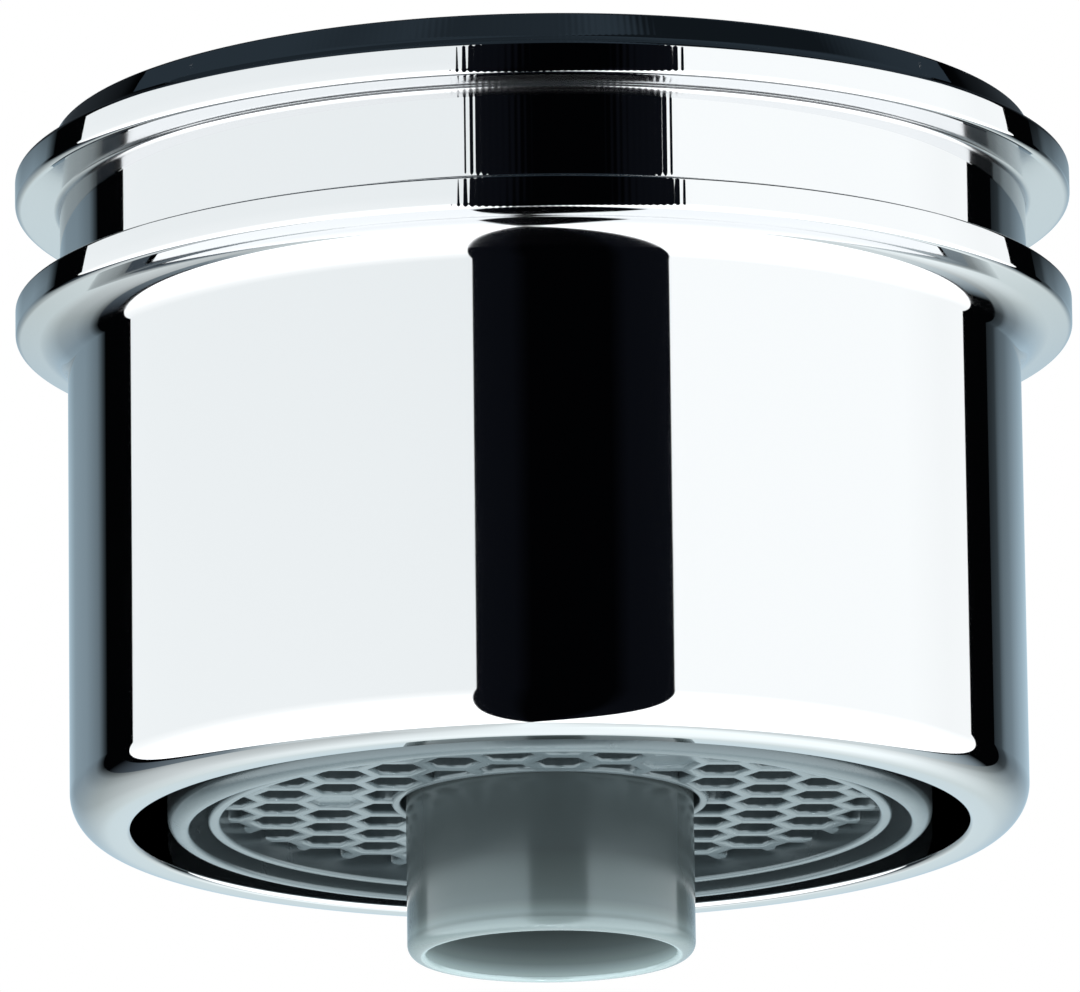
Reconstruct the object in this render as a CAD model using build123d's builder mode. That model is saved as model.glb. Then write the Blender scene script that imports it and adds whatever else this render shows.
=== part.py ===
from build123d import *
import os
from math import hypot, sqrt

os.makedirs("parts", exist_ok=True)

# Tap aerator, in millimetres. The origin is on the axis at the start of the sleeve's spout thread, just below
# its upper mouth, and +Z points up, into the spout. Water leaves downwards.

# Sleeve, inside
thread_diameter = 28.0
thread_pitch = 1.0
thread_length = 5.4
mouth_chamfer = 0.6
relief_play = 0.1
seat_thickness = 1.5

# Sleeve, outside: widths are measured from the body's wall
shell_height = 23.0
body_wall = 1.4
flange_overhang = 1.7
flange_thickness = 1.1
lower_flange_thickness = 1.04
flange_edge_radius = 0.2
collar_height = 1.2
collar_top_overhang = 0.3
collar_base_overhang = 0.85
collar_edge = 0.15
groove_width = 3.3
groove_overhang = 0.25
groove_fillet = 0.5
under_flange_drop = 0.26
under_flange_fillet = 1.1
lip_width = 1.9
lip_radius = 1.3
lip_inner_edge = 0.2

# Stack between the thread and the seat
washer_gap = 0.1
washer_thickness = 2.0
washer_play = 0.16
washer_width = 2.3
splitter_flange_thickness = 0.8
housing_flange_thickness = 1.1
flange_play = 0.21

# Insert housing
air_gap = 1.25
housing_wall = 0.7
housing_seat_play = 0.15
housing_edge_radius = 0.3
window_count = 8
window_width = 6.4
window_height = 3.0
window_drop = 1.2
step_height = 2.8
step_thickness = 0.7
step_ledge = 0.45

# Outlet honeycomb
fit_play = 0.1
skirt_play = 0.15
skirt_wall = 0.4
skirt_recess = 0.28
shoulder_thickness = 1.2
cell_pitch = 2.0
cell_wall = 0.5
cell_turn = 3.6
cell_recess = 0.62
cell_depth = 2.4
gate_count = 3
gate_column_count = 4
gate_sink = 0.15
hub_wall = 0.3
hub_recess = 0.6

# Screens
screen_thickness = 0.4
screen_pitch = 2.0
screen_wire = 0.5
screen_rim = 0.5
spacer_height = 1.4
spacer_wall = 0.8

# Jet splitter
plug_depth = 2.3
plug_wall = 0.8
floor_thickness = 1.0
boss_wall = 1.05
boss_rise = 0.5
jet_diameter = 1.3
jet_count = 20
jet_inset = 1.4

# Inlet strainer
strainer_thickness = 0.5
strainer_ledge = 0.7
strainer_play = 0.15
slot_count = 48
slot_width = 0.45
slot_margin = 0.76

# Guide tube
tube_diameter = 9.3
tube_wall = 0.6
tube_projection = 4.15
tube_play = 0.17
tube_flange_width = 1.85
tube_flange_thickness = 0.8
tube_edge_radius = 0.27

# Radii that follow from the sizes above, from the thread outwards and then inwards
thread_r = (thread_diameter - 1.0825 * thread_pitch) / 2
relief_r = thread_diameter / 2 + relief_play
body_r = relief_r + body_wall
flange_r = body_r + flange_overhang
groove_r = body_r + groove_overhang
collar_top_r = body_r + collar_top_overhang
collar_base_r = body_r + collar_base_overhang
outlet_r = body_r - lip_width
housing_r = outlet_r - air_gap
housing_bore_r = housing_r - housing_wall
seat_r = housing_r + housing_seat_play
step_r = housing_bore_r - step_ledge
insert_r = housing_bore_r - fit_play
insert_flange_r = thread_r - flange_play
washer_r = thread_r - washer_play
washer_hole_r = washer_r - washer_width
skirt_r = step_r - skirt_play
skirt_bore_r = skirt_r - skirt_wall
tube_r = tube_diameter / 2
tube_bore_r = tube_r - tube_wall
tube_flange_r = tube_r + tube_flange_width
hub_bore_r = tube_r + tube_play
hub_r = hub_bore_r + hub_wall
boss_r = hub_bore_r + boss_wall
cup_r = insert_r - plug_wall
strainer_seat_r = cup_r + strainer_ledge

# Heights that follow from the sizes above
z_mouth = mouth_chamfer
z_thread_end = -thread_length
z_washer_top = z_thread_end - washer_gap
z_splitter_top = z_washer_top - washer_thickness
z_strainer = z_splitter_top - strainer_thickness
z_housing_top = z_splitter_top - splitter_flange_thickness
z_seat = z_housing_top - housing_flange_thickness
z_seat_under = z_seat - seat_thickness
z_outlet_top = z_seat_under - (outlet_r - seat_r)
z_upper_flange = z_mouth - collar_height
z_groove_top = z_upper_flange - flange_thickness
z_lower_flange = z_groove_top - groove_width
z_flange_under = z_lower_flange - lower_flange_thickness
z_body_top = z_flange_under - under_flange_drop
z_bottom = z_mouth - shell_height
z_step = z_bottom + step_height
z_shoulder_top = z_step + shoulder_thickness
z_spacer = z_shoulder_top + screen_thickness
z_upper_screen = z_spacer + spacer_height
z_skirt = z_bottom + skirt_recess
z_cells = z_skirt + cell_recess
z_hub = z_skirt + hub_recess
z_floor = z_housing_top - plug_depth
z_boss_top = z_splitter_top + boss_rise
z_tube_top = z_boss_top + tube_flange_thickness
z_tube_bottom = z_bottom - tube_projection


def corners(sketch, *points):
    """The sketch's vertices nearest to the given (radius, height) points."""
    return [sketch.vertices().sort_by_distance((r, z, 0))[0] for r, z in points]


# Sleeve: one turned piece
with BuildPart() as shell:
    with BuildSketch(Plane.XZ) as outline:
        with BuildLine():
            Polyline(
                (thread_r + mouth_chamfer, z_mouth),
                (collar_top_r, z_mouth),
                (collar_base_r, z_upper_flange),
                (flange_r, z_upper_flange),
                (flange_r, z_groove_top),
                (groove_r, z_groove_top),
                (groove_r, z_lower_flange),
                (flange_r, z_lower_flange),
                (flange_r, z_flange_under),
                (body_r, z_body_top),
                (body_r, z_bottom),
                (outlet_r, z_bottom),
                (outlet_r, z_outlet_top),
                (seat_r, z_seat_under),
                (seat_r, z_seat),
                (relief_r, z_seat),
                (relief_r, z_thread_end - (relief_r - thread_r)),
                (thread_r, z_thread_end),
                (thread_r, 0),
                close=True,
            )
        make_face()
        rims = [(flange_r, z) for z in (z_upper_flange, z_groove_top, z_lower_flange, z_flange_under)]
        fillet(corners(outline, *rims), flange_edge_radius)
        fillet(corners(outline, (groove_r, z_groove_top), (groove_r, z_lower_flange)), groove_fillet)
        fillet(corners(outline, (body_r, z_body_top)), under_flange_fillet)
        fillet(corners(outline, (body_r, z_bottom)), lip_radius)
        chamfer(corners(outline, (outlet_r, z_bottom)), lip_inner_edge)
        chamfer(corners(outline, (collar_top_r, z_mouth)), collar_edge)
    revolve(axis=Axis.Z)
shell.part.label = "shell"
export_step(shell.part, "parts/shell.step")

# Insert housing: a cage that hangs by its flange on the sleeve's seat, with windows for the air
with BuildPart() as insert_housing:
    with BuildSketch(Plane.XZ) as outline:
        with BuildLine():
            Polyline(
                (housing_bore_r, z_housing_top),
                (insert_flange_r, z_housing_top),
                (insert_flange_r, z_seat),
                (housing_r, z_seat),
                (housing_r, z_bottom),
                (housing_bore_r, z_bottom),
                (housing_bore_r, z_step - step_thickness),
                (step_r, z_step - step_thickness),
                (step_r, z_step),
                (housing_bore_r, z_step),
                close=True,
            )
        make_face()
        rounding = min(housing_edge_radius, 0.45 * housing_wall)
        fillet(corners(outline, (housing_r, z_bottom), (housing_bore_r, z_bottom)), rounding)
    revolve(axis=Axis.Z)
    with Locations((0, 0, z_outlet_top - window_drop - window_height / 2)):
        with PolarLocations(housing_r, window_count):
            Box(4 * housing_wall, window_width, window_height, mode=Mode.SUBTRACT)
insert_housing.part.label = "insert_housing"
export_step(insert_housing.part, "parts/insert_housing.step")

# Outlet honeycomb: a plate of six-sided cells between a skirt and a hub. The cell at each mould gate is filled.
cell_r = (cell_pitch - cell_wall) / sqrt(3)
column = cell_pitch * sqrt(3) / 2
gate = Vector(-gate_column_count * column, 0)
gates = [gate.rotate(Axis.Z, cell_turn + k * 360 / gate_count) for k in range(gate_count)]
reach = int(insert_r / column) + 2
cells = []
for i in range(-reach, reach + 1):
    for j in range(-reach, reach + 1):
        spot = Vector(i * column, (j + 0.5 * (i % 2)) * cell_pitch).rotate(Axis.Z, cell_turn)
        at_gate = min((spot - g).length for g in gates) < cell_wall
        if not at_gate and hub_r - cell_wall / 2 < spot.length < skirt_bore_r + cell_wall / 2:
            cells.append(spot)

with BuildPart() as outlet_honeycomb:
    with BuildSketch(Plane.XY.offset(z_cells)):
        Circle(skirt_r - skirt_wall / 2)
        Circle(hub_r - hub_wall / 2, mode=Mode.SUBTRACT)
        with Locations(*cells):
            RegularPolygon(cell_r, 6, rotation=cell_turn, mode=Mode.SUBTRACT)
    extrude(amount=cell_depth)
    with BuildSketch(Plane.XY.offset(z_cells)):
        with Locations(*gates):
            RegularPolygon(cell_r, 6, rotation=cell_turn)
    extrude(amount=gate_sink, mode=Mode.SUBTRACT)
    with BuildSketch(Plane.XZ):
        with BuildLine():
            Polyline(
                (skirt_bore_r, z_skirt),
                (skirt_r, z_skirt),
                (skirt_r, z_step),
                (insert_r, z_step),
                (insert_r, z_shoulder_top),
                (skirt_bore_r, z_shoulder_top),
                close=True,
            )
        make_face()
        with BuildLine():
            Polyline(
                (hub_bore_r, z_hub),
                (hub_r, z_hub),
                (hub_r, z_shoulder_top),
                (hub_bore_r, z_shoulder_top),
                close=True,
            )
        make_face()
    revolve(axis=Axis.Z)
outlet_honeycomb.part.label = "outlet_honeycomb"
export_step(outlet_honeycomb.part, "parts/outlet_honeycomb.step")

# Screens: two alike, on the honeycomb's shoulder and on the spacer
opening = screen_pitch - screen_wire
reach = int(insert_r / screen_pitch) + 1
openings = []
for i in range(-reach, reach + 1):
    for j in range(-reach, reach + 1):
        x, y = i * screen_pitch, j * screen_pitch
        half = opening / sqrt(2)
        if hub_r + screen_rim + half < hypot(x, y) < insert_r - screen_rim - half:
            openings.append((x, y))

with BuildPart() as lower_screen:
    with BuildSketch(Plane.XY.offset(z_shoulder_top)):
        Circle(insert_r)
        Circle(hub_bore_r, mode=Mode.SUBTRACT)
        with Locations(*openings):
            Rectangle(opening, opening, mode=Mode.SUBTRACT)
    extrude(amount=screen_thickness)
lower_screen.part.label = "lower_screen"
export_step(lower_screen.part, "parts/lower_screen.step")

with BuildPart() as screen_spacer:
    with BuildSketch(Plane.XY.offset(z_spacer)):
        Circle(insert_r)
        Circle(insert_r - spacer_wall, mode=Mode.SUBTRACT)
    extrude(amount=spacer_height)
screen_spacer.part.label = "screen_spacer"
export_step(screen_spacer.part, "parts/screen_spacer.step")

with BuildPart() as upper_screen:
    with BuildSketch(Plane.XY.offset(z_upper_screen)):
        Circle(insert_r)
        Circle(hub_bore_r, mode=Mode.SUBTRACT)
        with Locations(*openings):
            Rectangle(opening, opening, mode=Mode.SUBTRACT)
    extrude(amount=screen_thickness)
upper_screen.part.label = "upper_screen"
export_step(upper_screen.part, "parts/upper_screen.step")

# Jet splitter: a cup with a pierced floor and a boss for the tube, hung on the housing's flange
with BuildPart() as jet_splitter:
    with BuildSketch(Plane.XZ):
        with BuildLine():
            Polyline(
                (hub_bore_r, z_floor),
                (insert_r, z_floor),
                (insert_r, z_housing_top),
                (insert_flange_r, z_housing_top),
                (insert_flange_r, z_splitter_top),
                (strainer_seat_r, z_splitter_top),
                (strainer_seat_r, z_strainer),
                (cup_r, z_strainer),
                (cup_r, z_floor + floor_thickness),
                (boss_r, z_floor + floor_thickness),
                (boss_r, z_boss_top),
                (hub_bore_r, z_boss_top),
                close=True,
            )
        make_face()
    revolve(axis=Axis.Z)
    with Locations((0, 0, z_floor)):
        with PolarLocations(cup_r - jet_inset, jet_count):
            Cylinder(jet_diameter / 2, 3 * floor_thickness, mode=Mode.SUBTRACT)
jet_splitter.part.label = "jet_splitter"
export_step(jet_splitter.part, "parts/jet_splitter.step")

# Inlet strainer: a slotted ring let into the splitter
strainer_bore_r = boss_r + strainer_play
with BuildPart() as inlet_strainer:
    with BuildSketch(Plane.XY.offset(z_strainer)):
        Circle(strainer_seat_r - fit_play)
        Circle(strainer_bore_r, mode=Mode.SUBTRACT)
        with PolarLocations((strainer_bore_r + cup_r) / 2, slot_count):
            Rectangle(cup_r - strainer_bore_r - 2 * slot_margin, slot_width, mode=Mode.SUBTRACT)
    extrude(amount=strainer_thickness)
inlet_strainer.part.label = "inlet_strainer"
export_step(inlet_strainer.part, "parts/inlet_strainer.step")

# Sealing washer: lies on the splitter's flange, under the spout's end
with BuildPart() as sealing_washer:
    with BuildSketch(Plane.XY.offset(z_splitter_top)):
        Circle(washer_r)
        Circle(washer_hole_r, mode=Mode.SUBTRACT)
    extrude(amount=washer_thickness)
sealing_washer.part.label = "sealing_washer"
export_step(sealing_washer.part, "parts/sealing_washer.step")

# Guide tube: hangs by its flange on the splitter's boss and stands out below the sleeve
with BuildPart() as guide_tube:
    with BuildSketch(Plane.XZ) as outline:
        with BuildLine():
            Polyline(
                (tube_bore_r, z_tube_bottom),
                (tube_r, z_tube_bottom),
                (tube_r, z_boss_top),
                (tube_flange_r, z_boss_top),
                (tube_flange_r, z_tube_top),
                (tube_bore_r, z_tube_top),
                close=True,
            )
        make_face()
        rounding = min(tube_edge_radius, 0.45 * tube_wall)
        fillet(corners(outline, (tube_bore_r, z_tube_bottom), (tube_r, z_tube_bottom)), rounding)
    revolve(axis=Axis.Z)
guide_tube.part.label = "guide_tube"
export_step(guide_tube.part, "parts/guide_tube.step")
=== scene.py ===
# %% [markdown]
# # A tap aerator in a small photo studio
# The aerator is a chromed sleeve that screws onto a bath spout, with a grey plastic insert that mixes air
# into the water. The solids come from CAD. This lesson dresses them: it remodels what the camera sees
# closely, mixes the finishes, and builds a studio, because polished chrome looks like whatever stands around
# it.

# %% The solids
from math import atan2, cos, degrees, hypot, pi, radians, sin, sqrt, tan

import bmesh
import bpy
from mathutils import Matrix, Vector


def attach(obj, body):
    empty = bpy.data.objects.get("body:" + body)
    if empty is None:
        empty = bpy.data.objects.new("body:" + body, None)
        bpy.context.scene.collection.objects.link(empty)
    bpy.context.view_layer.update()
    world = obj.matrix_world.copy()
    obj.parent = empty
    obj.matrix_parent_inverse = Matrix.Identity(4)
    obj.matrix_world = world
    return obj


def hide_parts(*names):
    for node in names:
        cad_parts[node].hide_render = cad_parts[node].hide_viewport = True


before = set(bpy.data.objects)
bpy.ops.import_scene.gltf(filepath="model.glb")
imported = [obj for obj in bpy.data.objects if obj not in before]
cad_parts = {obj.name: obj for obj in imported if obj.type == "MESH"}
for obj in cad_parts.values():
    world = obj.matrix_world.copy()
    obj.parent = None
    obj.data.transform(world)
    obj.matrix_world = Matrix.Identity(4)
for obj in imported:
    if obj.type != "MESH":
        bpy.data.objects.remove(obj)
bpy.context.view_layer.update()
MM = 0.001
print("solids:", ", ".join(sorted(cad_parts)))

# %% [markdown]
# ## Sockets that can be added and multiplied
# A finish is a tree of shader nodes. Drawing each sum as Math nodes takes a page of links, so one small class
# wraps a socket and lets Python's own signs add those nodes. Its node() method makes every other kind.


# %% Sockets
class Wire:
    """A socket in a node tree. Sums with it add Math nodes, and node() adds any other node."""

    def __init__(self, tree, socket=None):
        self.tree, self.socket = tree, socket

    def node(self, kind, settings=None, inputs=None, out=0):
        """Adds a node with its settings, then its inputs, which are wires or values. Gives one output."""
        made = self.tree.nodes.new("ShaderNode" + kind)
        for name, value in (settings or {}).items():
            if name == "stops":
                ramp = made.color_ramp.elements
                while len(ramp) < len(value):
                    ramp.new(1.0)
                for stop, (place, colour) in zip(ramp, value):
                    stop.position, stop.color = place, (*colour, 1.0)
            else:
                setattr(made, name, value)
        for name, value in (inputs or {}).items():
            if isinstance(value, Wire):
                self.tree.links.new(value.socket, made.inputs[name])
            else:
                made.inputs[name].default_value = value
        return Wire(self.tree, made.outputs[out] if len(made.outputs) else None)

    def math(self, operation, *terms):
        return self.node("Math", {"operation": operation}, dict(enumerate(terms)))

    def __add__(self, other):
        return self.math("ADD", self, other)

    def __sub__(self, other):
        return self.math("SUBTRACT", self, other)

    def __rsub__(self, other):
        return self.math("SUBTRACT", other, self)

    def __mul__(self, other):
        return self.math("MULTIPLY", self, other)

    def __truediv__(self, other):
        return self.math("DIVIDE", self, other)

    def __lt__(self, other):
        return self.math("LESS_THAN", self, other)

    def __gt__(self, other):
        return self.math("GREATER_THAN", self, other)

    __radd__ = __add__
    __rmul__ = __mul__

    def rise(self, low, high):
        """A number that goes from 0, where this socket is low, to 1, where it is high."""
        return self.node("MapRange", None, {"Value": self, 1: low, 2: high})

    def blend(self, low, high):
        """A colour from low, where this socket is 0, to high, where it is 1."""
        low, high = [end if isinstance(end, Wire) else (*end, 1.0) for end in (low, high)]
        return self.node("Mix", {"data_type": "RGBA"}, {0: self, 6: low, 7: high}, out=2)

    def shades(self, stops):
        """A colour from a run of stops, each a place between 0 and 1 and the colour there."""
        return self.node("ValToRGB", {"stops": stops}, {0: self})


print("sockets ready")

# %% [markdown]
# ## Parts of a finish
# Every finish starts from the object's own coordinates in millimetres, so its grain has its real size and
# stays on the piece when the piece moves. Noise makes the grain, a bump gives it depth, and one surface
# shader ends the tree.


# %% Parts of a finish
def new_finish(name):
    """A bare material: its tree, and a wire with the object's own coordinates in millimetres."""
    material = bpy.data.materials.new(name)
    material.use_nodes = True
    material.node_tree.nodes.clear()
    bare = Wire(material.node_tree)
    place = bare.node("TexCoord", out="Object")
    return material, place.node("VectorMath", {"operation": "SCALE"}, {0: place, "Scale": 1 / MM})


def axes(place):
    """X, Y and Z of a place."""
    return [place.node("SeparateXYZ", None, {0: place}, out=k) for k in range(3)]


def from_axis(x, y):
    """Distance from the Z axis."""
    return x.math("SQRT", x * x + y * y)


def grain(wire, size, detail=2.0):
    """Even, fine noise between 0 and 1, with spots of about this size in millimetres."""
    return wire.node("TexNoise", None, {"Vector": wire, "Scale": 1 / size, "Detail": detail})


def embossed(height):
    """A bump from a height in millimetres."""
    return height.node("Bump", None, {"Height": height, "Strength": 1.0, "Distance": MM})


def cover(wire, **sockets):
    """Ends a finish with the usual surface shader, its sockets named by words joined with _."""
    named = {name.replace("_", " ").title(): value for name, value in sockets.items()}
    named = {name.replace("Ior", "IOR"): value for name, value in named.items()}
    shader = wire.node("BsdfPrincipled", None, named)
    wire.node("OutputMaterial", None, {"Surface": shader})


print("parts of a finish ready")

# %% [markdown]
# ## Chrome
# Bright chrome is a mirror: almost no roughness and a faintly blue white. What gives it away as a real,
# turned piece is in the bump. The cutting tool left tiny ripples round the two flanges, which break the edge
# of each reflection into thin lines, and the polished body is very slightly wavy. Inside the mouth the
# plating is thin and dull, and the polishing wheel never reaches the corners under the flanges, so roughness
# rises in both.

# %% Chrome finish
RIPPLES_PER_TURN, RIPPLE_HEIGHT = 490, 0.0006
FLANGES_LOW, FLANGE_RIM = -6.05, 16.9
MOUTH_WALL, MOUTH_LOW = 14.15, -11.0
GROOVE_CORNER_LOW, GROOVE_CORNER_FULL, GROOVE_CORNER_HIGH = -1.97, -1.87, -1.6
BODY_CORNER_LOW, BODY_CORNER_HIGH = -6.9, -6.1
chrome, place = new_finish("bright_chrome")
x, y, z = axes(place)
across = from_axis(x, y)
turn = place.math("ARCTAN2", y, x)
lobes = 0.5 - place.math("COSINE", turn * 2) * 0.5
ripple = place.math("SINE", turn * RIPPLES_PER_TURN) * (z > FLANGES_LOW) * lobes * lobes * lobes
inside = (across < MOUTH_WALL) * (z > MOUTH_LOW)
groove_corner = z.rise(GROOVE_CORNER_LOW, GROOVE_CORNER_FULL) * (z < GROOVE_CORNER_HIGH)
body_corner = (z > BODY_CORNER_LOW) * (z < BODY_CORNER_HIGH)
unpolished = (groove_corner * 0.12 + body_corner * 0.04) * (across < FLANGE_RIM)
haze = grain(place, 3.0)
fine = grain(place, 0.35, 4.0)
waves = grain(place, 6.0, 1.0)
cover(
    place,
    base_color=inside.blend((0.62, 0.632, 0.642), (0.42, 0.4, 0.36)),
    metallic=1.0,
    roughness=haze * 0.02 + 0.015 + unpolished + inside * (fine * 0.1 + 0.24),
    normal=embossed(ripple * RIPPLE_HEIGHT + waves * 0.002 + fine * inside * 0.004),
)
print("bright_chrome:", len(chrome.node_tree.nodes), "nodes")

# %% [markdown]
# ## Moulded plastics
# The insert is moulded from grey plastic with a satin skin. A mould is spark-eroded, so its fine grain comes
# out on the part; melt that flowed in waves leaves faint clouds of shade; and handling leaves duller patches.
# One function mixes all three, so the plastics differ only in their values. The tube's lower end also has two
# runs of painted light and shade, and the cage's outer wall in the air gap has painted shade, nearly black.

# %% Plastic finishes
# Painted shade: the colour of the cage's outer wall in the air gap, above the rim's top.
RIM_TOP, GAP_PAINTED_SHADE = -21.9, (0.012, 0.015, 0.017)
# The tube's painted light and shade starts at the first height here, and the tube ends at the second.
PAINTED_SHADING_FROM, TUBE_END, BORE_WALL = -24.0, -26.55, 4.22
EDGE_FROM, EDGE_FULL = 0.76, 0.9
UPPER_FROM, UPPER_FULL = -25.0, -23.2


def plastic(name, colour, roughness, gloss, relief=1.0, painted_shade_wall=None, painted_shading=None):
    """Satin moulded plastic: a colour with flow clouds, a grain in the bump and duller, handled patches.
    Outside the given wall radius, above the rim, it is painted nearly black as shade. Two given runs of
    shades down the tube's lower end, for the bore and for the outside, are painted light and shade, darker
    higher up and lighter towards the mouth. The bore, the tube's edge and its upper part are then duller."""
    material, place = new_finish(name)
    clouds = grain(place, 5.0, 3.0)
    patches = grain(place, 1.6, 4.0)
    pits = grain(place, 0.12, 2.0)
    x, y, z = axes(place)
    across = from_axis(x, y)
    tint = clouds.blend(*[tuple(part * share for part in colour) for share in (0.93, 1.07)])
    dull = patches * 0.16
    # Painted shade: nearly black on the wall in the air gap.
    if painted_shade_wall:
        tint = ((across > painted_shade_wall) * (z > RIM_TOP)).blend(tint, GAP_PAINTED_SHADE)
    # Painted light and shade down the tube's lower end: darker higher up, lighter towards the mouth.
    if painted_shading:
        down = z.rise(PAINTED_SHADING_FROM, TUBE_END)
        bore, outside = [down.shades(run) for run in painted_shading]
        in_bore = across < BORE_WALL
        tint = in_bore.blend((down > 0.0).blend(tint, outside), bore)
        edge = place.math("MAXIMUM", in_bore, down.rise(EDGE_FROM, EDGE_FULL))
        dull = dull + edge * 0.08 + z.rise(UPPER_FROM, UPPER_FULL) * 0.07
    cover(
        place,
        base_color=tint,
        roughness=dull + roughness - 0.08,
        ior=gloss,
        specular_tint=(0.8, 0.95, 1.0, 1.0),
        normal=embossed((pits * 0.004 + patches * 0.006) * relief),
    )
    return material


DARK_GREY, TUBE_GREY, PALE = (0.03, 0.04, 0.044), (0.046, 0.059, 0.061), (0.78, 0.79, 0.78)
# Painted light and shade: levels down the tube's lower end, in the bore and outside, and their tint.
PAINTED_SHADING_TINT = (1.0, 1.29, 1.32)
BORE_PAINTED_SHADING = [
    (0.39, 0.056), (0.59, 0.083), (0.784, 0.16), (0.88, 0.28), (0.933, 0.36), (0.965, 0.17), (1.0, 0.09),
]
OUTSIDE_PAINTED_SHADING = [
    (0.0, 0.046), (0.3, 0.072), (0.45, 0.083), (0.62, 0.1), (0.69, 0.13), (0.784, 0.19), (0.84, 0.16),
    (0.9, 0.09), (1.0, 0.05),
]
TUBE_PAINTED_SHADING = []
for run in (BORE_PAINTED_SHADING, OUTSIDE_PAINTED_SHADING):
    TUBE_PAINTED_SHADING.append([(at, tuple(level * part for part in PAINTED_SHADING_TINT)) for at, level in run])
grey_plastic = plastic("grey_plastic", DARK_GREY, 0.24, 1.8)
# The cage carries painted shade on its outer wall in the air gap.
cage_plastic = plastic("cage_plastic", DARK_GREY, 0.24, 1.8, painted_shade_wall=12.2)
# The tube carries painted light and shade at its lower end.
tube_plastic = plastic("tube_plastic", TUBE_GREY, 0.14, 1.8, relief=0.2, painted_shading=TUBE_PAINTED_SHADING)
pale_plastic = plastic("pale_plastic", PALE, 0.36, 1.5)
print("plastics:", grey_plastic.name, cage_plastic.name, tube_plastic.name, pale_plastic.name)

# %% [markdown]
# ## Rubber and steel
# The washer is moulded rubber: nearly black, matt, with a talc bloom in patches. The two screens are
# stainless steel, brushed by the weaving, so the bump runs along both directions of the mesh.

# %% Rubber and steel finishes
rubber, place = new_finish("black_rubber")
bloom = grain(place, 1.2, 5.0)
dimples = grain(place, 0.18, 3.0)
cover(
    place,
    base_color=bloom.blend((0.012, 0.012, 0.013), (0.045, 0.045, 0.047)),
    roughness=bloom * 0.2 + 0.55,
    normal=embossed(dimples * 0.012),
)

steel, place = new_finish("screen_steel")
ways = [place.node("Mapping", None, {"Vector": place, "Scale": way}) for way in ((8, 0.6, 8), (0.6, 8, 8))]
strokes = grain(ways[0], 1.0) + grain(ways[1], 1.0)
cover(
    place,
    base_color=(strokes * 0.5).blend((0.5, 0.5, 0.49), (0.68, 0.68, 0.67)),
    metallic=1.0,
    roughness=strokes * 0.12 + 0.2,
    normal=embossed(strokes * 0.003),
)
print("rubber and steel ready")

# %% [markdown]
# ## Turning a profile
# Every round piece here is turned, as on a lathe: half of its outline is drawn as a few points, each corner
# is rounded with a vertex bevel, and the outline is spun once round the axis. Rounding the outline before the
# spin is quicker than bevelling whole rings after it, and each corner keeps its own radius.


# %% The lathe
def outline(corners):
    """A bmesh with a closed outline in the XZ plane. Each corner is (radius, height, rounding) in mm."""
    flat = bmesh.new()
    points = [flat.verts.new((r * MM, 0, z * MM)) for r, z, _ in corners]
    for k, point in enumerate(points):
        flat.edges.new((points[k - 1], point))
    for k, (r, z, rounding) in enumerate(corners):
        if not rounding:
            continue
        to = [Vector((corners[j][0] - r, corners[j][1] - z)) for j in (k - 1, (k + 1) % len(corners))]
        bend = pi - to[0].angle(to[1])
        bmesh.ops.bevel(
            flat,
            geom=[points[k]],
            offset=rounding * MM * tan(bend / 2),
            segments=max(4, min(28, round(18 * rounding + 5))),
            profile=0.5,
            affect="VERTICES",
            material=-1,
        )
    return flat


def turned(solid, steps):
    """Spins the outline once round the axis and closes it."""
    bmesh.ops.spin(
        solid,
        geom=solid.verts[:] + solid.edges[:],
        axis=(0, 0, 1),
        cent=(0, 0, 0),
        angle=2 * pi,
        steps=steps,
        use_merge=True,
    )
    bmesh.ops.remove_doubles(solid, verts=solid.verts[:], dist=1e-7)
    bmesh.ops.recalc_face_normals(solid, faces=solid.faces[:])
    return solid


def join(solid, other):
    """Moves another bmesh's faces into this one."""
    mesh = bpy.data.meshes.new("joined")
    other.to_mesh(mesh)
    other.free()
    solid.from_mesh(mesh)
    bpy.data.meshes.remove(mesh)


SHARP = radians(40)


def finished(name, solid, material, node):
    """Makes the piece an object that rides on the body, and hides its CAD node."""
    mesh = bpy.data.meshes.new(name)
    solid.to_mesh(mesh)
    solid.free()
    mesh.shade_smooth()
    mesh.set_sharp_from_angle(angle=SHARP)
    mesh.materials.append(material)
    piece = bpy.data.objects.new(name, mesh)
    bpy.context.scene.collection.objects.link(piece)
    piece.modifiers.new("even_shading", "WEIGHTED_NORMAL").weight = 100
    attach(piece, "root")
    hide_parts(node)
    print(name, len(mesh.polygons), "faces")


print("lathe ready")

# %% [markdown]
# ## The sleeve and its thread
# The sleeve is one turned outline: a coned collar, two flanges with a groove between them, the plain body,
# and a full, round lip. Its inside steps in to the seat that carries the insert. The spout thread is one
# ridge spun with a small drop at each step, which makes it a screw. Its ends run out into the wall, as the
# tool leaves it.

# %% Sleeve
sleeve = turned(
    outline(
        [
            (14.06, 0.6, 0.0),
            (15.9, 0.6, 0.15),
            (16.45, -0.6, 0.75),
            (17.2, -0.6, 0.2),
            (17.2, -1.7, 0.2),
            (15.75, -1.7, 0.2),
            (15.75, -5.0, 0.5),
            (17.2, -5.0, 0.1),
            (17.2, -6.04, 0.2),
            (15.5, -6.3, 1.1),
            (15.5, -22.4, 1.3),
            (13.5, -22.4, 0.18),
            (13.6, -21.6, 0.0),
            (13.6, -12.0, 0.2),
            (12.5, -10.9, 0.1),
            (12.5, -9.4, 0.1),
            (14.1, -9.4, 0.1),
            (14.1, -5.5, 0.0),
            (14.0, -5.4, 0.0),
            (14.0, 0.54, 0.0),
        ]
    ),
    steps=320,
)
print("sleeve:", len(sleeve.faces), "faces")

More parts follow.
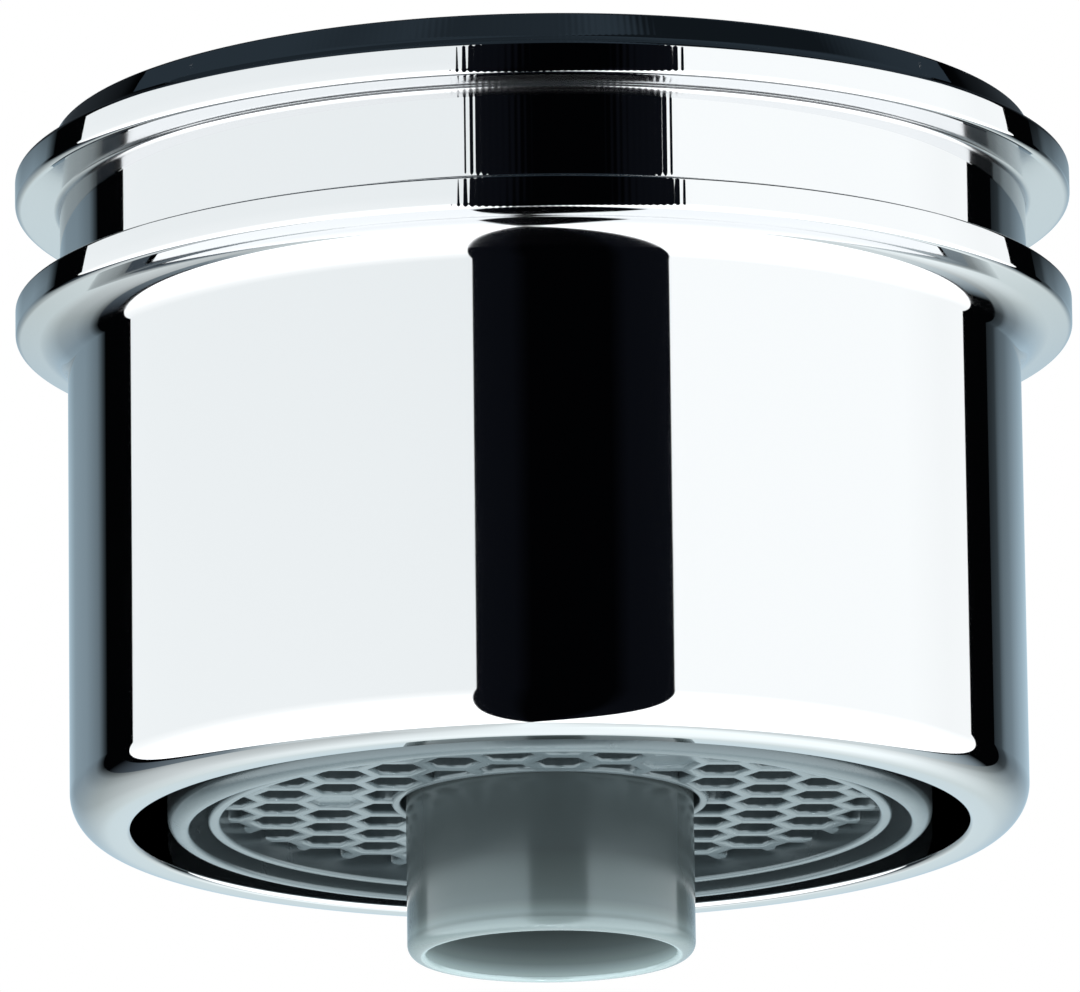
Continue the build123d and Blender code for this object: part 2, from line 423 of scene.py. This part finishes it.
# %% Spout thread
PITCH, THREAD_TURNS, STEPS_A_TURN = 1.0, 5.4, 120
MINOR, MAJOR, BURIED = 13.459, 14.0, 14.15
CREST, ROOT, RUN_OUT_LOW = 0.125, 0.4375, -4.9
tooth = [(MAJOR, ROOT), (MINOR, CREST), (MINOR, -CREST), (MAJOR, -ROOT), (BURIED, -ROOT), (BURIED, ROOT)]
ridge = outline([(r, z, 0.0) for r, z in tooth])
bmesh.ops.spin(
    ridge,
    geom=ridge.verts[:] + ridge.edges[:],
    axis=(0, 0, 1),
    cent=(0, 0, 0),
    angle=-2 * pi * THREAD_TURNS,
    steps=round(STEPS_A_TURN * THREAD_TURNS),
    dvec=(0, 0, -PITCH * MM / STEPS_A_TURN),
)
bmesh.ops.holes_fill(ridge, edges=[edge for edge in ridge.edges if edge.is_boundary])
for vert in ridge.verts:
    r, z = hypot(vert.co.x, vert.co.y) / MM, vert.co.z / MM
    run_out = MINOR + max(0.0, z, RUN_OUT_LOW - z)
    if r < run_out:
        vert.co.xy *= min(run_out, BURIED) / r
bmesh.ops.recalc_face_normals(ridge, faces=ridge.faces[:])
join(sleeve, ridge)
finished("chrome_sleeve", sleeve, chrome, "shell")

# %% [markdown]
# ## The tube
# A thin tube hangs through the middle of the insert and guides the rod that works the diverter. It is turned
# too. Its lower mouth is well rounded, because the rod slides through it.

# %% Guide tube
tube = turned(
    outline(
        [
            (4.05, TUBE_END, 0.15),
            (4.65, TUBE_END, 0.42),
            (4.65, -7.0, 0.0),
            (6.5, -7.0, 0.1),
            (6.5, -6.2, 0.15),
            (4.05, -6.2, 0.15),
        ]
    ),
    steps=160,
)
finished("rod_tube", tube, tube_plastic, "guide_tube")

# %% [markdown]
# ## The outlet honeycomb
# The plate of six-sided cells straightens the water. A flat sheet of hexagons is cut to a ring, and insets
# then turn each hexagon into a cell: a flat land, a rounded edge and a drafted wall, as a mould needs. The
# sheet is half of the plate; a mirror makes the other half. Three cells stay closed where the melt entered
# the mould.

# %% Sheet of hexagons
CELL_PITCH, CELL_TURN, CELL_REACH = 2.0, radians(3.6), 7
PLATE_RIM, PLATE_HOLE, OVERHANG, NEAR_RIM = 10.98, 4.9, 1.2, 0.2
PLATE_LOW, PLATE_DEPTH = -21.5, 2.4
COLUMN = CELL_PITCH * sqrt(3) / 2
sheet = bmesh.new()
for i in range(-CELL_REACH, CELL_REACH + 1):
    for j in range(-CELL_REACH, CELL_REACH + 1):
        spot = Vector((i * COLUMN, (j + 0.5 * (i % 2)) * CELL_PITCH, 0))
        spot = Matrix.Rotation(CELL_TURN, 3, "Z") @ spot
        if PLATE_HOLE - OVERHANG < spot.length < PLATE_RIM + OVERHANG:
            at = Matrix.Translation(spot * MM + Vector((0, 0, PLATE_LOW * MM)))
            turned_to = Matrix.Rotation(CELL_TURN + pi / 6, 4, "Z")
            bmesh.ops.create_circle(
                sheet, cap_ends=True, segments=6, radius=CELL_PITCH / sqrt(3) * MM, matrix=at @ turned_to
            )
bmesh.ops.remove_doubles(sheet, verts=sheet.verts[:], dist=1e-5)


def cut_ring(flat, radius, keep_outside):
    """Cuts the faces along a circle round the axis and deletes those on its other side."""
    on_circle = set()
    for edge in flat.edges[:]:
        ends = [vert.co.xy for vert in edge.verts]
        along = ends[1] - ends[0]
        a, b, c = along.dot(along), 2 * ends[0].dot(along), ends[0].dot(ends[0]) - (radius * MM) ** 2
        if b * b <= 4 * a * c:
            continue
        root = sqrt(b * b - 4 * a * c)
        for share in sorted(((-b - root) / 2 / a, (-b + root) / 2 / a)):
            if 0.0 < share < 1.0:
                on_circle.add(bmesh.utils.edge_split(edge, edge.verts[0], share)[1])
                break
    for face in flat.faces[:]:
        cut = [vert for vert in face.verts if vert in on_circle]
        if len(cut) == 2:
            bmesh.utils.face_split(face, *cut)
    gone = []
    for face in flat.faces:
        if (face.calc_center_median().xy.length < radius * MM) == keep_outside:
            gone.append(face)
    bmesh.ops.delete(flat, geom=gone, context="FACES")
    on_circle = {vert for vert in on_circle if vert.is_valid}
    chords = [edge for edge in flat.edges if on_circle.issuperset(edge.verts)]
    bmesh.ops.subdivide_edges(flat, edges=chords, cuts=2)
    for vert in flat.verts:
        if vert.is_boundary and abs(vert.co.xy.length - radius * MM) < NEAR_RIM * MM:
            vert.co.xy *= radius * MM / vert.co.xy.length


cut_ring(sheet, PLATE_RIM, False)
cut_ring(sheet, PLATE_HOLE, True)
for face in sheet.faces:
    if face.normal.z > 0:
        face.normal_flip()
print("sheet:", len(sheet.faces), "whole and cut hexagons")

# %% Cells from insets
CELL_AREA = sqrt(3) / 2 * CELL_PITCH**2 * MM**2
SMALLEST_SHARE, GATES, GATE_COLUMN, NEAR_GATE = 0.12, 3, 4, 0.3
LAND, EDGE, EDGE_STEPS, DRAFT = 0.12, 0.13, 3, 0.03
gates = []
for k in range(GATES):
    towards = Matrix.Rotation(CELL_TURN + pi + k * 2 * pi / GATES, 2)
    gates.append(towards @ Vector((GATE_COLUMN * COLUMN * MM, 0)))
rim_edges = [edge for edge in sheet.edges if edge.is_boundary]
openings = [face for face in sheet.faces if face.calc_area() > SMALLEST_SHARE * CELL_AREA]
deep = []
for face in openings:
    middle = face.calc_center_median().xy
    if min((middle - gate).length for gate in gates) >= NEAR_GATE * MM:
        deep.append(face)
insets = [(LAND, 0.0)]
for k in range(EDGE_STEPS):
    low, high = [end * pi / 2 / EDGE_STEPS for end in (k, k + 1)]
    insets.append((EDGE * (sin(high) - sin(low)), EDGE * (cos(low) - cos(high))))
for inward, down in insets:
    bmesh.ops.inset_individual(
        sheet, faces=openings, thickness=inward * MM, depth=-down * MM, use_even_offset=True
    )
bmesh.ops.inset_individual(
    sheet, faces=deep, thickness=DRAFT * MM, depth=-(PLATE_DEPTH / 2 - EDGE) * MM, use_even_offset=True
)
bmesh.ops.delete(sheet, geom=deep, context="FACES_ONLY")
wall = bmesh.ops.extrude_edge_only(sheet, edges=rim_edges)["geom"]
wall = [part for part in wall if isinstance(part, bmesh.types.BMVert)]
bmesh.ops.translate(sheet, verts=wall, vec=(0, 0, PLATE_DEPTH / 2 * MM))
middle = Vector((0, 0, (PLATE_LOW + PLATE_DEPTH / 2) * MM))
bmesh.ops.translate(sheet, verts=sheet.verts[:], vec=-middle)
half = sheet.verts[:] + sheet.edges[:] + sheet.faces[:]
bmesh.ops.mirror(sheet, geom=half, merge_dist=2e-6, axis="Z")
bmesh.ops.translate(sheet, verts=sheet.verts[:], vec=middle)
bmesh.ops.recalc_face_normals(sheet, faces=sheet.faces[:])
print("plate:", len(sheet.faces), "faces,", sum(edge.is_boundary for edge in sheet.edges), "open edges")

# %% Skirt and hub
SKIRT = [
    (10.65, -22.12, 0.12),
    (11.05, -22.12, 0.12),
    (11.05, -19.6, 0.1),
    (11.55, -19.6, 0.1),
    (11.55, -18.4, 0.1),
    (10.65, -18.4, 0.1),
]
HUB = [(4.82, -21.52, 0.1), (5.12, -21.52, 0.1), (5.12, -18.4, 0.1), (4.82, -18.4, 0.1)]
for corners in (SKIRT, HUB):
    join(sheet, turned(outline(corners), steps=192))
finished("honeycomb_outlet", sheet, grey_plastic, "outlet_honeycomb")

# %% [markdown]
# ## The cage round the insert
# The insert stands in a cage that hangs on the sleeve's seat. It is turned first; then the faces inside and
# outside each air window are deleted, and the two open edges are bridged, which gives the window its sides.

# %% Cage
WINDOWS, WINDOW_HALF, WINDOW_LOW, WINDOW_HIGH = 8, radians(15), -16.2, -13.2
cage = turned(
    outline(
        [
            (11.65, -8.3, 0.1),
            (13.249, -8.3, 0.1),
            (13.249, -9.4, 0.1),
            (12.35, -9.4, 0.1),
            (12.35, WINDOW_HIGH, 0.0),
            (12.35, WINDOW_LOW, 0.0),
            (12.35, -22.4, 0.5),
            (11.65, -22.4, 0.14),
            (11.65, -20.3, 0.05),
            (11.2, -20.3, 0.1),
            (11.2, -19.6, 0.0),
            (11.65, -19.6, 0.0),
            (11.65, WINDOW_LOW, 0.0),
            (11.65, WINDOW_HIGH, 0.0),
        ]
    ),
    steps=192,
)
for k in range(WINDOWS):
    facing = Vector((cos(2 * pi * k / WINDOWS), sin(2 * pi * k / WINDOWS)))
    pane = []
    for face in cage.faces:
        spot = face.calc_center_median()
        if WINDOW_LOW < spot.z / MM < WINDOW_HIGH and spot.xy.angle(facing) < WINDOW_HALF:
            pane.append(face)
    bmesh.ops.delete(cage, geom=pane, context="FACES_ONLY")
    bmesh.ops.delete(cage, geom=[edge for edge in cage.edges if edge.is_wire], context="EDGES")
    bmesh.ops.bridge_loops(cage, edges=[edge for edge in cage.edges if edge.is_boundary])
bmesh.ops.recalc_face_normals(cage, faces=cage.faces[:])
print("cage:", sum(edge.is_boundary for edge in cage.edges), "open edges,", WINDOWS, "windows")
finished("air_cage", cage, cage_plastic, "insert_housing")

# %% [markdown]
# ## Finishes on the CAD solids
# The other solids already have their real shape, so they stay as they are and only get their finish.

# %% Finishes for the solids
for node, finish in {
    "jet_splitter": pale_plastic,
    "inlet_strainer": pale_plastic,
    "screen_spacer": pale_plastic,
    "upper_screen": steel,
    "lower_screen": steel,
    "sealing_washer": rubber,
}.items():
    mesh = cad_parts[node].data
    mesh.materials.clear()
    mesh.materials.append(finish)
    print(node, "is in", finish.name)

# %% [markdown]
# ## The studio
# Chrome shows only its surroundings, so the studio is a tent of curved cards, and each shade in the chrome is
# the shade of one card. A card is an arc, spun from a single point and then swept round the object. It glows
# by itself, so its shade doesn't depend on other lamps. The camera doesn't see the cards; only the metal and
# the plastic do.

# %% Card maker
TENT_RADIUS, TENT_LEAN = 600.0, radians(2.2)
FOOT_SHARE, HEAD_SHARE = 0.2, 0.58


def card(name, azimuths, elevations, shades, sides=None, low_sides=None):
    """A curved card between two azimuths and two elevations, seen from the object, in degrees, with shades
    from low to high. Sides, where given, is its brightness from one side to the other, and low_sides the same
    at its foot."""
    turn_from, turn_to = [radians(angle) for angle in azimuths]
    low, high = [radians(angle) for angle in elevations]
    sweep = turn_to - turn_from
    bow = bmesh.new()
    foot = bow.verts.new(Vector((0, -cos(low), sin(low))) * TENT_RADIUS * MM)
    bmesh.ops.spin(bow, geom=[foot], axis=(-1, 0, 0), cent=(0, 0, 0), angle=high - low, steps=24)
    bmesh.ops.rotate(bow, verts=bow.verts[:], cent=(0, 0, 0), matrix=Matrix.Rotation(turn_from, 3, "Z"))
    bmesh.ops.spin(
        bow,
        geom=bow.verts[:] + bow.edges[:],
        axis=(0, 0, 1),
        cent=(0, 0, 0),
        angle=sweep,
        steps=max(4, round(sweep / radians(3))),
    )
    mesh = bpy.data.meshes.new(name)
    bow.to_mesh(mesh)
    bow.free()
    paint, place = new_finish(name)
    x, y, z = axes(place)
    share = (place.math("ARCSINE", z / TENT_RADIUS) - low) / (high - low)
    shade = share.shades(shades)
    if sides:
        mid = (turn_from + turn_to) / 2
        off_mid = place.math("ARCTAN2", x * cos(mid) + y * sin(mid), x * sin(mid) - y * cos(mid))
        along = off_mid / sweep + 0.5
        levels = []
        for line in (low_sides or sides, sides):
            stops = [((radians(angle) - turn_from) / sweep, (level,) * 3) for angle, level in line]
            levels.append(along.shades(stops))
        level = share.rise(FOOT_SHARE, HEAD_SHARE).blend(*levels)
        dim = {"data_type": "RGBA", "blend_type": "MULTIPLY"}
        shade = shade.node("Mix", dim, {0: 1.0, 6: shade, 7: level}, out=2)
    shade.node("OutputMaterial", None, {"Surface": shade.node("Emission", None, {"Color": shade})})
    mesh.materials.append(paint)
    made = bpy.data.objects.new(name, mesh)
    bpy.context.scene.collection.objects.link(made)
    made.rotation_euler = (0, TENT_LEAN, 0)
    made.visible_camera = False
    print(name, len(mesh.polygons), "faces")


print("card maker ready")

# %% [markdown]
# ## Front and sides
# A black card in front gives the dark band down the middle of the sleeve, and the white panels at its two
# sides give the bright bands. The panels are brightest low down: the underside of a flange shows them by way
# of the wall beside it, and chrome takes more than a third of the light each time.

# %% Front card and white panels
NADIR, FOOT, TOP = -89.5, -70, 42
FRONT_LEFT, FRONT_RIGHT = -17.1, 29.3
LEFT_PANEL_END, LEFT_LINE_END, LEFT_FLAG_END = -117.1, -120.6, -130.5
RIGHT_PANEL_END, RIGHT_LINE_END, RIGHT_FLAG_END = 120.4, 122.2, 133.4
INK, BLACK, NAVY = (0.005, 0.006, 0.009), (0.001, 0.0012, 0.0015), (0.03, 0.044, 0.058)
GLARE, WHITE, LEFT_WHITE = (2.3, 2.32, 2.34), (1.51, 1.53, 1.53), (1.3, 1.34, 1.35)
INK_SIDES = [(FRONT_LEFT, 1.0), (-8, 0.8), (-4, 0.15), (15, 0.15), (19, 0.8), (FRONT_RIGHT, 1.0)]
LEFT_SHADES = [
    (0.0, GLARE), (0.45, GLARE), (0.66, WHITE), (0.775, LEFT_WHITE), (0.965, LEFT_WHITE), (0.975, NAVY),
]
RIGHT_SHADES = [(0.0, GLARE), (0.5, GLARE), (0.74, WHITE), (1.0, WHITE)]
RIGHT_SIDES = [(FRONT_RIGHT, 1.0), (95, 1.0), (110, 0.95), (RIGHT_PANEL_END, 0.95)]
card("front_flag", (FRONT_LEFT, FRONT_RIGHT), (NADIR, TOP), [(0.0, INK), (1.0, INK)], INK_SIDES)
card("left_panel", (LEFT_PANEL_END, FRONT_LEFT), (NADIR, TOP), LEFT_SHADES)
card("right_panel", (FRONT_RIGHT, RIGHT_PANEL_END), (NADIR, TOP), RIGHT_SHADES, RIGHT_SIDES)

# %% [markdown]
# ## Back, floor and lid
# Behind, two narrow black cards at each side draw the dark lines near the sleeve's edges. Their feet fade
# into the floor's glow, or the lip would be ringed with black. The backdrop is brightest in the middle and
# bluer towards its top, which shades the sleeve's edges and the undersides, and the dark lid is what the
# collar shows.

# %% Narrow black cards
FLOOR_GLOW, PALE_GLOW = (1.0, 1.07, 1.08), (0.8, 0.88, 0.9)
DUSK, DAWN = (0.09, 0.115, 0.14), (0.26, 0.32, 0.36)
DARK_TOP = [(0.9, BLACK), (0.94, NAVY)]
LEFT_FLAG = [(0.0, FLOOR_GLOW), (0.1, PALE_GLOW), (0.18, DAWN), (0.38, DUSK), (0.53, BLACK), *DARK_TOP]
LEFT_LINE = [(0.0, FLOOR_GLOW), (0.08, PALE_GLOW), (0.16, DAWN), (0.24, BLACK), *DARK_TOP]
RIGHT_FLAG = [
    (0.0, FLOOR_GLOW), (0.22, (0.95, 1.04, 1.06)), (0.31, (0.72, 0.82, 0.86)), (0.43, DAWN), (0.49, BLACK),
    *DARK_TOP,
]
RIGHT_LINE = [(0.0, FLOOR_GLOW), (0.24, PALE_GLOW), (0.31, DAWN), (0.37, BLACK), *DARK_TOP]
card("left_flag", (LEFT_FLAG_END, LEFT_LINE_END), (FOOT, TOP), LEFT_FLAG)
card("left_line", (LEFT_LINE_END, LEFT_PANEL_END), (FOOT, TOP), LEFT_LINE)
card("right_flag", (RIGHT_LINE_END, RIGHT_FLAG_END), (FOOT, TOP), RIGHT_FLAG)
card("right_line", (RIGHT_PANEL_END, RIGHT_LINE_END), (FOOT, TOP), RIGHT_LINE)

# %% Backdrop, floor glow and lid
BACK_END, FLOOR_END = 360 + LEFT_FLAG_END, 360 + LEFT_PANEL_END
LID_FROM, LID_END = -119, 241
SKY = [
    (0.0, FLOOR_GLOW), (0.27, FLOOR_GLOW), (0.45, (0.6, 0.68, 0.69)), (0.55, (0.47, 0.57, 0.62)),
    (0.66, (0.36, 0.47, 0.545)), (0.73, (0.36, 0.48, 0.56)), (0.795, (0.04, 0.05, 0.06)), (1.0, BLACK),
]
LOW_SIDES = [
    (RIGHT_FLAG_END, 1.15), (150, 1.5), (160, 1.5), (170, 1.4), (180, 1.35), (190, 1.2), (200, 1.0),
    (210, 0.86), (BACK_END, 0.7),
]
HIGH_SIDES = [
    (RIGHT_FLAG_END, 0.08), (138, 0.16), (140, 0.38), (142, 0.5), (147, 0.62), (150, 0.78), (155, 0.98),
    (163, 1.2), (170, 1.3), (175, 1.45), (178, 1.55), (182, 1.55), (185, 1.45), (190, 1.2), (197, 1.0),
    (203, 0.8), (215, 0.75), (219, 0.65), (224, 0.5), (227.5, 0.14), (BACK_END, 0.0),
]
FLOOR_SIDES = [
    (RIGHT_PANEL_END, 1.0), (RIGHT_FLAG_END, 1.1), (160, 1.3), (180, 1.4), (200, 1.0), (BACK_END, 0.9),
    (FLOOR_END, 0.95),
]
LID_SIDES = [
    (LID_FROM, 1.0), (-86, 1.0), (-70, 0.8), (-50, 1.0), (-38, 0.65), (5, 0.75), (18, 1.1), (28, 0.95),
    (38, 0.28), (95, 0.28), (103, 0.6), (113, 0.9), (125, 1.0), (200, 0.6), (LID_END, 0.6),
]
GLOW = [(0.0, FLOOR_GLOW), (1.0, FLOOR_GLOW)]
card("backdrop", (RIGHT_FLAG_END, BACK_END), (FOOT, TOP), SKY, HIGH_SIDES, LOW_SIDES)
card("floor_glow", (RIGHT_PANEL_END, FLOOR_END), (NADIR, FOOT), GLOW, FLOOR_SIDES)
card("lid", (LID_FROM, LID_END), (TOP, 90), [(0.0, NAVY), (1.0, NAVY)], LID_SIDES)

# %% [markdown]
# ## Floor, light and camera
# A pale floor lies well below, so that the camera can look up at the outlet. The room is a white world at a
# strength of one, and two soft lamps, which the chrome doesn't show, lift the underside and the open mouth.
# A long lens from far away keeps the flanges nearly parallel, as in a catalogue picture.

# %% Floor
FLOOR_HALF, FLOOR_HEIGHT, FLOOR_SEEN = 4.0, -1.0, 0.9
floor_shape = bmesh.new()
bmesh.ops.create_grid(floor_shape, x_segments=4, y_segments=4, size=FLOOR_HALF)
bmesh.ops.translate(floor_shape, verts=floor_shape.verts[:], vec=(0, 0, FLOOR_HEIGHT))
floor_mesh = bpy.data.meshes.new("floor")
floor_shape.to_mesh(floor_mesh)
floor_shape.free()
paint, place = new_finish("pale_floor")
tone = grain(place, 400.0).blend((0.86, 0.87, 0.88), (0.9, 0.9, 0.9))
matt = place.node("BsdfDiffuse", None, {"Color": tone})
shown = place.node("Emission", None, {"Color": (1.0, 1.0, 1.0, 1.0)})
rays = [place.node("LightPath", out=f"Is {ray} Ray") for ray in ("Camera", "Glossy", "Transmission")]
seen = place.math("MAXIMUM", place.math("MAXIMUM", rays[0], rays[1]), rays[2])
surface = place.node("MixShader", None, {0: seen * FLOOR_SEEN, 1: matt, 2: shown})
place.node("OutputMaterial", None, {"Surface": surface})
floor_mesh.materials.append(paint)
floor = bpy.data.objects.new("floor", floor_mesh)
bpy.context.scene.collection.objects.link(floor)
print("floor at", FLOOR_HEIGHT, "m")

# %% Light
world = bpy.data.worlds.new("white_room")
world.use_nodes = True
world.node_tree.nodes["Background"].inputs["Color"].default_value = (1.0, 1.0, 1.0, 1.0)
world.node_tree.nodes["Background"].inputs["Strength"].default_value = 1.0
bpy.context.scene.world = world


def softbox(name, place, size, watts):
    """A square soft lamp that points at the object and stays out of the reflections."""
    lamp = bpy.data.lights.new(name, "AREA")
    lamp.size, lamp.energy = size, watts
    made = bpy.data.objects.new(name, lamp)
    made.location = place
    made.rotation_mode = "QUATERNION"
    made.rotation_quaternion = (-Vector(place)).to_track_quat("-Z", "Y")
    made.visible_glossy = False
    made.visible_camera = False
    bpy.context.scene.collection.objects.link(made)
    print(name, watts, "W")


softbox("under_light", (0.0, 0.0, -0.45), size=0.14, watts=8.0)
softbox("top_light", (0.1, -0.1, 0.45), size=0.4, watts=1.5)

# %% Camera
stand, aim, roll = Vector((0.0, -0.43207, -0.11406)), Vector((-0.000195, 0.0, -0.0113)), radians(-0.707)
lens = bpy.data.cameras.new("camera")
lens.sensor_width, lens.lens = 36.0, 455.86
lens.clip_start, lens.clip_end = 0.01, 20.0
camera = bpy.data.objects.new("camera", lens)
looking = (aim - stand).to_track_quat("-Z", "Y").to_matrix().to_4x4()
camera.matrix_world = Matrix.Translation(stand) @ looking @ Matrix.Rotation(roll, 4, "Z")
bpy.context.scene.collection.objects.link(camera)
bpy.context.scene.camera = camera
bpy.context.scene.view_settings.view_transform = "Standard"
print("camera looks up", round(degrees(atan2(aim.z - stand.z, aim.y - stand.y)), 1), "degrees")
